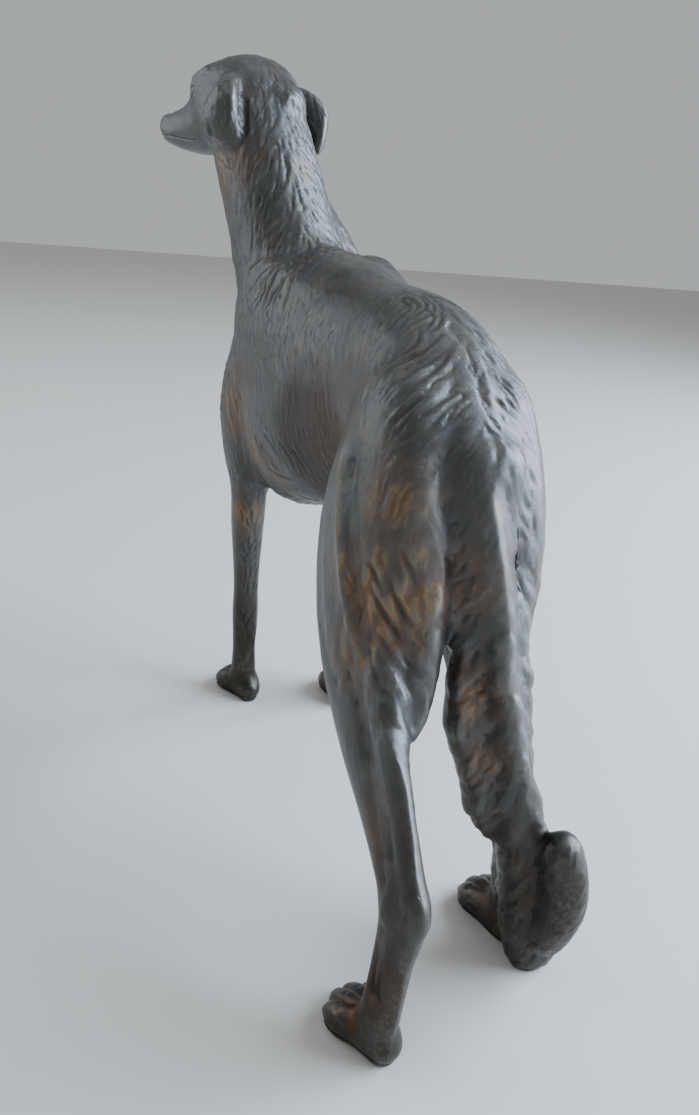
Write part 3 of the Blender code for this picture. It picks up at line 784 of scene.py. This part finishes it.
def coat(shares, normals):
    """Length, width and depth of the cuts in millimetres at each place, and how often one is made."""
    x, y, z = shares.T
    nx, ny, nz = normals.T
    head = apply(HEAD_BACK, shares)
    length = np.full(len(x), 7.5)
    width = np.full(len(x), 0.50)
    depth = np.full(len(x), 0.34)

    def blend(weight, new_length, new_width, new_depth):
        for values, new in ((length, new_length), (width, new_width), (depth, new_depth)):
            values += (new - values) * weight

    ribs = fade(0.35, -0.1, nz) * fade(0.02, -0.04, x) * fade(-0.5, -0.4, x)
    blend(ribs, 8.5, 0.42, 0.15)
    rump = fade(-0.38, -0.5, x) * fade(0.1, 0.5, nz)
    blend(rump, 8.5, 0.60, 0.30)
    neck = fade(0.95, 1.02, z)
    blend(neck, 6.5, 0.50, 0.30)
    blend(neck * fade(0.5, 0.9, ny), 7.5, 0.55, 0.15)
    chest = fade(0.15, 0.5, nx) * fade(0.0, 0.05, x) * fade(1.04, 0.96, z)
    blend(chest, 13.0, 0.62, 0.50)
    brisket = fade(-0.1, -0.5, nz) * fade(0.64, 0.58, z) * fade(-0.34, -0.26, x)
    blend(brisket, 9.0, 0.95, 0.40)
    thigh = fade(-0.50, -0.57, x) * fade(0.78, 0.66, z)
    outer = fade(0.3, 0.8, ny * np.sign(y))
    blend(thigh * outer, 9.0, 0.60, 0.07)
    rear = thigh * fade(-0.2, -0.6, nx)
    blend(rear, 11.0, 0.70, 0.09)
    blend(rear * fade(0.72, 0.60, z) * fade(0.42, 0.48, z), 13.0, 1.05, 0.20)
    on_head = head_share(head, 0.14)
    blend(on_head, 4.5, 0.42, 0.13)
    ear = on_head * fade(0.080, 0.092, np.abs(head[:, 1])) * fade(0.03, 0.0, head[:, 0])
    blend(ear, 7.0, 0.55, 0.26)
    muzzle = on_head * fade(0.06, 0.12, head[:, 0])
    blend(muzzle, 3.0, 0.40, 0.05)
    fore_leg = fade(0.56, 0.48, z) * fade(-0.2, -0.15, x)
    blend(fore_leg, 8.0, 0.55, 0.05)
    feather = fore_leg * fade(-0.5, -0.8, nx) * fade(0.14, 0.22, z)
    blend(feather, 9.0, 0.55, 0.38)
    hind_leg = fade(0.46, 0.38, z) * fade(-0.4, -0.5, x)
    blend(hind_leg, 8.0, 0.60, 0.05)
    on_tail = tail_share(shares)
    blend(on_tail, 10.0, 0.85, 0.28)
    crown = bell(line_distance(shares, TAIL_RIDGE), 0.0, 0.026)
    blend(on_tail * crown, 6.5, 0.45, 0.11)
    curl = fade(0.06, 0.04, line_distance(shares, CURL_LINE))
    blend(curl, 9.0, 0.60, 0.16)
    back = fade(-0.17, -0.25, x) * fade(-0.54, -0.46, x) * fade(0.3, 0.6, nz)
    hip = fade(-0.42, -0.48, x) * fade(0.68, 0.74, z) * fade(0.55, 0.35, nz)
    depth *= 1.0 - 0.62 * np.maximum(back, hip * (1.0 - on_tail))
    feet = fade(0.10, 0.07, z)
    depth *= 1.0 - feet * (1.0 - on_tail)
    # The bone of the tail is smoother than the feathers on either side
    near_ridge = on_tail > 0
    beside = line_distance(shares[near_ridge], moved(TAIL_RIDGE, 0.0, -0.010, 0.0))
    depth[near_ridge] *= 1.0 - 0.55 * bell(beside, 0.0, 0.020)
    return length, width, depth


# The two layers of the coat: starts tried, their distance apart in widths, and the size of the
# cuts and the share of the ridge beside each against the plain ones
BROAD_LOCKS = {"tries": 30000, "pitch": 5.0, "length": 1.7, "width": 2.6, "depth": 0.85, "lift": 0.6}
FINE_HAIR = {"tries": 90000, "pitch": 3.0, "length": 1.0, "width": 1.0, "depth": 1.0, "lift": 0.55}

# The side of a cell of starts in metres, how far along its length a start keeps others away,
# the shallowest cut in millimetres that is made, and the steps in a cut
SEED_CELL = 0.008
SEED_REACH = 0.80
SHALLOWEST = 0.06
CUT_STEPS = 8


def lay_flat(way, normals):
    return unit(way - normals * np.einsum("ij,ij->i", way, normals)[:, None])


def turned_about(way, normals, angle):
    """Each direction turned about its normal."""
    return way * np.cos(angle)[:, None] + np.cross(normals, way) * np.sin(angle)[:, None]


def crowded(grid, cell, place, way, reach):
    """Whether an earlier start lies within reach of a place, along and across its hair."""
    for step in product((-1, 0, 1), repeat=3):
        for other in grid.get((cell[0] + step[0], cell[1] + step[1], cell[2] + step[2]), ()):
            x, y, z = other[0] - place[0], other[1] - place[1], other[2] - place[2]
            along = x * way[0] + y * way[1] + z * way[2]
            across2 = x * x + y * y + z * z - along * along
            if (along / reach[0]) ** 2 + across2 / reach[1] ** 2 < 1.0:
                return True
    return False


def spread_seeds(skin, rng, layer):
    """Starts for the cuts, kept clear of each other along and across the hair."""
    picks = rng.choice(len(skin.points), layer["tries"], replace=False)
    points, normals = skin.points[picks], skin.normals[picks]
    sizes = np.stack(coat((points - STANCE) / WITHERS, normals))
    keep = sizes[2] > SHALLOWEST
    points, normals, sizes = points[keep], normals[keep], sizes[:, keep]
    ways = lay_flat(flow((points - STANCE) / WITHERS, normals), normals).tolist()
    reaches = np.stack((sizes[0] * MM * SEED_REACH, sizes[1] * layer["pitch"] * MM), 1).tolist()
    grid = {}
    chosen = []
    for index, place in enumerate(points.tolist()):
        cell = tuple(int(value // SEED_CELL) for value in place)
        if not crowded(grid, cell, place, ways[index], reaches[index]):
            grid.setdefault(cell, []).append(place)
            chosen.append(index)
    return points[chosen], normals[chosen], *sizes[:, chosen]


def carve_coat(skin, rng, layer):
    """Lays the cuts of one layer over the whole coat, each bent and sized a little by chance."""
    places, normals, length, width, depth = spread_seeds(skin, rng, layer)
    count = len(places)
    length = length * layer["length"] * rng.uniform(0.70, 1.30, count)
    width = width * layer["width"] * rng.uniform(0.85, 1.15, count) * MM
    depth = depth * layer["depth"] * rng.uniform(0.65, 1.20, count) * MM
    lean = rng.normal(0.0, 0.16, count)
    bend = rng.normal(0.0, 0.35, count)
    wave = rng.uniform(0.10, 0.38, count)
    phase = rng.uniform(0.0, math.tau, count)
    stride = length * MM / CUT_STEPS
    row, normals = skin.slide(places)
    paths, path_normals = [row], [normals]
    for k in range(CUT_STEPS):
        way = lay_flat(flow((row - STANCE) / WITHERS, normals), normals)
        angle = lean + bend * (k / CUT_STEPS - 0.5) + wave * np.sin(phase + k * 1.05)
        way = turned_about(way, normals, angle)
        row, normals = skin.slide(row + way * stride[:, None])
        paths.append(row)
        path_normals.append(normals)
    paths, path_normals = np.stack(paths, 1), np.stack(path_normals, 1)
    for i in range(count):
        cut_along(skin, paths[i], path_normals[i], width[i], depth[i], depth[i] * layer["lift"])


def sink(skin):
    """Carves what is laid out, and empties the store."""
    cut, raised = skin.store
    deepest = max(cut.max(), 1e-9)
    skin.push(raised * (1.0 - 0.8 * np.clip(cut / deepest, 0, 1)) - cut)
    skin.store[:] = 0.0


def carve(skin):
    """All the carving on the dense skin, and how deep each point lies in a cut."""
    rng = np.random.default_rng(SEED)
    skin.push(np.full(len(skin.points), SKIN_SWELL))
    model_face(skin)
    model_paws(skin)
    model_limbs(skin)
    skin.index_cells()
    skin.index_tree()
    score_face(skin)
    score_paws(skin)
    score_limbs(skin)
    depth = skin.store[0] / DARK_FORM_CUT
    sink(skin)
    # Broad soft locks first, then the fine cuts
    carve_coat(skin, rng, BROAD_LOCKS)
    sink(skin)
    skin.index_cells()
    carve_coat(skin, rng, FINE_HAIR)
    score_marks(skin)
    depth = np.maximum(depth, skin.store[0] / DARK_COAT_CUT)
    sink(skin)
    return np.clip(depth, 0.0, 1.0)


def flatten_soles(mesh):
    """The soles lie flat on the floor."""
    points = points_of(mesh)
    points[points[:, 2] < SOLE_HEIGHT, 2] = 0.0
    mesh.vertices.foreach_set("co", points.ravel())
    mesh.update()


def thin_out(piece):
    """Brings the triangles down to their number, keeping them where the carving is."""
    count = sum(polygon.loop_total - 2 for polygon in piece.data.polygons)
    piece.modifiers.new("thin", "DECIMATE").ratio = TRIANGLES / count
    mesh = bake_modifiers(piece)
    mesh.name = piece.name
    mesh.shade_smooth()


def relief_masks(mesh):
    """How far each point stands out of or lies below its surroundings, fine and broad."""
    points = points_of(mesh).astype(np.float64)
    normals = read_rows(mesh.vertex_normals, "vector", np.float32, 3)
    a, b = read_rows(mesh.edges, "vertices", np.int32, 2).T
    soft = points.copy()
    for name, rounds in (("fine_relief", 4), ("broad_relief", 36)):
        for _ in range(rounds):
            soft = 0.5 * soft + 0.5 * neighbour_mean(soft, a, b)
        height = np.einsum("ij,ij->i", points - soft, normals)
        height /= np.abs(height).mean() * 2.5
        write_mask(mesh, name, np.clip(height * 0.5 + 0.5, 0, 1))


def worn_edges(mesh):
    """How near each point lies to the edges that handling has worn bright."""
    shares = (points_of(mesh) - STANCE) / WITHERS
    lines = [(THIGH_RIDGE, 0.0120), (other_hind(THIGH_RIDGE), 0.0120)]
    lines += [(moved(line, -0.004, 0.0, 0.006), 0.0065) for line in THIGH_LOCKS]
    worn = np.zeros(len(shares))
    for line, width in lines:
        worn = np.maximum(worn, bell(line_distance(shares, line), 0.0, width))
    write_mask(mesh, "worn_edge", worn)


class Nodes:
    """A short way to write a node tree."""

    def __init__(self, material, colour):
        self.tree = material.node_tree
        self.tree.nodes.clear()
        self.colour = colour

    def add(self, kind, inputs=None, **settings):
        node = self.tree.nodes.new(kind)
        for key, value in settings.items():
            setattr(node, key, value)
        for key, value in (inputs or {}).items():
            if isinstance(value, bpy.types.NodeSocket):
                self.tree.links.new(value, node.inputs[key])
            else:
                node.inputs[key].default_value = value
        return node

    def math(self, operation, a, b=0.0, clamp=False):
        return self.add("ShaderNodeMath", {0: a, 1: b}, operation=operation, use_clamp=clamp).outputs[0]

    times = partialmethod(math, "MULTIPLY")
    plus = partialmethod(math, "ADD")
    less = partialmethod(math, "SUBTRACT")
    larger = partialmethod(math, "MAXIMUM")

    def mask(self, name):
        return self.add("ShaderNodeAttribute", attribute_name=name).outputs["Fac"]

    def paint(self, share, red, green, blue):
        """Lays a colour over those laid before, by a share from 0 to 1."""
        inputs = {0: share, 6: self.colour, 7: rgb(red, green, blue)}
        self.colour = self.add("ShaderNodeMix", inputs, data_type="RGBA").outputs[2]

    def step(self, value, low, high):
        """0 at low and 1 at high, with a smooth rise between them."""
        inputs = {0: value, 1: low, 2: high, 3: 0.0, 4: 1.0}
        return self.add("ShaderNodeMapRange", inputs, interpolation_type="SMOOTHSTEP").outputs[0]

    def noise(self, place, scale, detail=3.0, roughness=0.55, distortion=0.0):
        values = {"Vector": place, "Scale": scale, "Detail": detail, "Roughness": roughness}
        return self.add("ShaderNodeTexNoise", values | {"Distortion": distortion}).outputs[0]

    def near(self, place, centre, radius, soft):
        """1 inside a ball about a place on the animal, fading over its edge."""
        far = self.add("ShaderNodeVectorMath", {0: place, 1: tuple(centre)}, operation="DISTANCE")
        return self.step(far.outputs["Value"], radius * WITHERS, (radius - soft) * WITHERS)


def rgb(r, g, b):
    return (r, g, b, 1.0)


# Places where handling has worn the patina to warm metal: X, Y, Z and radius in thousandths of
# the shoulder height, and strength
WARM_PLACES = (
    (-765, 112, 640, 130, 1.00),
    (-745, 118, 755, 90, 0.85),
    (-700, 145, 640, 80, 0.75),
    (-725, 145, 530, 80, 0.65),
    (-786, 18, 660, 80, 0.75),
    (-800, -4, 500, 85, 0.75),
    (-809, -31, 397, 75, 0.65),
    (-846, 142, 343, 65, 0.50),
    (-905, 135, 150, 95, 0.50),
    (-873, 151, 56, 65, 0.50),
    (-80, 143, 715, 115, 0.80),
    (-136, 130, 650, 85, 0.65),
    (-54, 120, 480, 95, 0.65),
    (-204, 109, 625, 95, 0.60),
    (-455, 96, 767, 170, 0.38),
    (34, 150, 1105, 100, 0.52),
    (-23, 143, 1126, 55, 0.65),
    (90, 100, 1000, 95, 0.65),
    (160, 10, 700, 140, 0.45),
    (-700, -130, 620, 120, 0.60),
    (0, -130, 640, 110, 0.55),
    (-760, -150, 60, 85, 0.35),
)


def patina():
    """Dark green-grey patina over bronze, black in the cuts and rubbed through to warm metal, with
    painted shade in the flank hollow and low down, and a painted top light along the back.
    """
    material = bpy.data.materials.new("bronze_patina")
    material.use_nodes = True
    n = Nodes(material, rgb(0.018, 0.018, 0.018))
    place = n.add("ShaderNodeTexCoord").outputs["Object"]
    groove = n.mask("cut_depth")
    fine = n.mask("fine_relief")
    broad = n.mask("broad_relief")
    cloud = n.noise(place, 34.0, 4.0, 0.6, 0.4)
    blotch = n.noise(place, 95.0, 4.0, 0.6, 0.6)
    speck = n.noise(place, 520.0, 3.0, 0.6)
    grain = n.noise(place, 1900.0, 2.0, 0.6)

    # 1 towards the bottom and 0 from about half the shoulder height up; it carries the painted shade low
    # down, and also raises the metal and dims the worn crests there
    low = n.add("ShaderNodeSeparateXYZ", {"Vector": place}).outputs["Z"]
    low = n.step(low, 0.48 * WITHERS, 0.16 * WITHERS)

    n.paint(n.step(cloud, 0.36, 0.64), 0.042, 0.043, 0.043)
    # Olive patches everywhere, thicker on the left loin and hip and along the top of the back, where the
    # lighter green-grey is a painted top-light sheen; and brown in wandering patches everywhere
    painted_top_light = n.near(place, spot(-0.56, 0.10, 0.84), 0.24, 0.20)
    painted_top_light = n.larger(painted_top_light, n.near(place, spot(-0.28, 0.06, 0.98), 0.30, 0.24))
    olive_and_top_light = n.times(n.step(blotch, 0.42, 0.66), n.plus(0.25, n.times(painted_top_light, 0.6)))
    n.paint(olive_and_top_light, 0.062, 0.058, 0.033)
    umber = n.times(n.step(n.noise(place, 60.0, 3.0, 0.6, 0.8), 0.50, 0.70), 0.65)
    n.paint(umber, 0.040, 0.021, 0.012)
    # Painted shade: dark brown, and rougher, in the hollow of the flank before the thighs
    tuck_painted_shade = n.near(place, spot(-0.40, 0.10, 0.72), 0.22, 0.20)
    tuck_painted_shade = n.times(n.step(n.plus(tuck_painted_shade, n.times(cloud, 0.8)), 0.65, 1.15), 0.85)
    n.paint(tuck_painted_shade, 0.016, 0.009, 0.006)
    # Painted shade low down: darker brown towards the bottom, on the lower legs, paws and tail
    n.paint(n.times(low, 0.80), 0.024, 0.016, 0.010)

    # Worn places
    warm = None
    for *centre, reach, strength in WARM_PLACES:
        centre, radius = rows_of(centre)[0], reach / 1000
        here = n.times(n.near(place, spot(*centre), radius, radius * 0.9), strength)
        warm = here if warm is None else n.larger(warm, here)
    upright = n.add("ShaderNodeMapping", {"Vector": place, "Scale": (1.0, 1.0, 0.3)}).outputs[0]
    streak = n.noise(upright, 190.0, 3.0, 0.6, 0.5)
    ragged = n.plus(n.times(blotch, 0.8), n.times(cloud, 0.4))
    ragged = n.plus(ragged, n.times(streak, 0.8))
    rubbed = n.step(n.plus(n.times(warm, 0.46), ragged), 1.20, 1.68)
    rubbed = n.times(rubbed, n.step(warm, 0.05, 0.40))
    brown = n.times(n.step(warm, 0.0, 0.55), 0.70)
    n.paint(brown, 0.066, 0.036, 0.020)
    n.paint(n.times(rubbed, 0.75), 0.180, 0.098, 0.044)
    gold = n.times(n.times(rubbed, n.step(fine, 0.50, 0.72)), 0.75)
    n.paint(gold, 0.340, 0.215, 0.095)

    line = n.mask("worn_edge")
    line = n.plus(n.times(line, 0.8), n.plus(blotch, n.times(streak, 0.8)))
    line = n.times(n.step(line, 1.25, 1.85), 0.60)
    n.paint(line, 0.260, 0.175, 0.085)

    # Crests and edges are worn a little brighter everywhere, the crests less so low down where the shade
    # is painted
    edge = n.times(n.step(broad, 0.62, 0.98), n.step(speck, 0.30, 0.62))
    n.paint(n.times(edge, 0.45), 0.120, 0.118, 0.105)
    crest = n.times(n.step(fine, 0.60, 0.95), n.less(0.45, n.times(low, 0.35)))
    n.paint(crest, 0.100, 0.103, 0.100)

    # Dark in the cuts and hollows
    hollow = n.larger(n.step(groove, 0.40, 1.10), n.step(fine, 0.40, 0.05))
    n.paint(n.times(hollow, 0.65), 0.008, 0.006, 0.005)
    dust = n.times(n.step(speck, 0.66, 0.78), 0.10)
    n.paint(dust, 0.16, 0.17, 0.16)

    rough = n.plus(0.30, n.times(cloud, 0.20))
    rough = n.plus(rough, n.times(speck, 0.08))
    rough = n.plus(rough, n.times(tuck_painted_shade, 0.25))
    rough = n.plus(rough, n.times(hollow, 0.25), clamp=True)
    rough = n.less(rough, n.times(edge, 0.05), clamp=True)
    bare = n.larger(n.times(rubbed, 0.75), n.times(edge, 0.60))
    bare = n.larger(bare, line)
    metal = n.plus(n.times(low, 0.55), 0.25)
    metal = n.plus(metal, n.times(bare, 0.70), clamp=True)

    pits = n.times(n.step(speck, 0.36, 0.22), 0.6)
    height = n.plus(n.times(grain, 0.10), n.times(speck, 0.55))
    height = n.less(height, pits)
    height = n.plus(height, n.times(n.noise(place, 210.0, 2.0), 1.6))
    bump = n.add("ShaderNodeBump", {"Height": height, "Distance": 0.00020, "Strength": 0.50})

    shader = n.add(
        "ShaderNodeBsdfPrincipled",
        {
            "Base Color": n.colour,
            "Roughness": rough,
            "Metallic": metal,
            "IOR": 1.75,
            "Normal": bump.outputs[0],
        },
    )
    n.add("ShaderNodeOutputMaterial", {"Surface": shader.outputs[0]})
    return material


def dressed_borzoi():
    """The carved and coloured dog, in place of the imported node."""
    piece, skin = fine_skin()
    write_mask(piece.data, "cut_depth", carve(skin))
    thin_out(piece)
    flatten_soles(piece.data)
    relief_masks(piece.data)
    worn_edges(piece.data)
    piece.data.materials.clear()
    piece.data.materials.append(patina())
    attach(piece, "root")
    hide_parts("borzoi")


def make_floor():
    mesh = bpy.data.meshes.new("floor")
    half = 3.0
    corners = [(-half, -half, 0), (half, -half, 0), (half, half, 0), (-half, half, 0)]
    mesh.from_pydata(corners, [], [(0, 1, 2, 3)])
    floor = add_object("floor", mesh)
    material = bpy.data.materials.new("pale_floor")
    material.use_nodes = True
    shader = material.node_tree.nodes["Principled BSDF"]
    shader.inputs["Base Color"].default_value = rgb(0.58, 0.555, 0.52)
    shader.inputs["Roughness"].default_value = 0.65
    mesh.materials.append(material)


def add_light(name, place, target, size, power, colour):
    data = bpy.data.lights.new(name, "AREA")
    data.shape = "RECTANGLE"
    data.size, data.size_y = size
    data.energy = power
    data.color = colour
    light = add_object(name, data)
    light.location = place
    way = Vector(target) - light.location
    light.rotation_mode = "QUATERNION"
    light.rotation_quaternion = way.to_track_quat("-Z", "Y")


def light_studio():
    world = bpy.data.worlds.new("studio")
    world.use_nodes = True
    background = world.node_tree.nodes["Background"]
    background.inputs[0].default_value = rgb(0.82, 0.86, 0.88)
    background.inputs[1].default_value = 0.54
    bpy.context.scene.world = world
    centre = (0.0, 0.0, 0.15)
    add_light("window", (-0.35, -1.15, 0.68), centre, (1.4, 1.3), 84.0, (0.70, 0.83, 1.0))
    add_light("sky", (0.1, 0.1, 1.4), centre, (1.2, 1.2), 3.0, (0.92, 0.96, 1.0))
    add_light("room", (0.8, 1.1, 0.6), centre, (1.1, 1.1), 8.0, (0.84, 0.92, 1.0))


# The camera: focal length and photo height in pixels, sensor in millimetres, tilts in radians,
# and place in shares
FOCAL = 869.496
PHOTO_HEIGHT = 1115.0
SENSOR = 36.0
PITCH = 0.391033
ROLL = 0.101766
YAW = 0.402111
CAMERA_PLACE = (-1.654661, 0.553151, 1.091922)


def place_camera():
    heading = Vector((math.cos(YAW), -math.sin(YAW), 0))
    level = Vector((-math.sin(YAW), -math.cos(YAW), 0))
    up = Vector((0, 0, 1))
    ahead = heading * math.cos(PITCH) - up * math.sin(PITCH)
    above = up * math.cos(PITCH) + heading * math.sin(PITCH)
    right = level * math.cos(ROLL) + above * math.sin(ROLL)
    top = above * math.cos(ROLL) - level * math.sin(ROLL)
    data = bpy.data.cameras.new("camera")
    data.sensor_fit = "VERTICAL"
    data.sensor_height = SENSOR
    data.lens = SENSOR * FOCAL / PHOTO_HEIGHT
    data.clip_start = 0.01
    camera = add_object("camera", data)
    rows = Matrix((right, top, -ahead)).transposed().to_4x4()
    camera.matrix_world = Matrix.Translation(spot(*CAMERA_PLACE)) @ rows
    bpy.context.scene.camera = camera


place_camera()
light_studio()
make_floor()
dressed_borzoi()
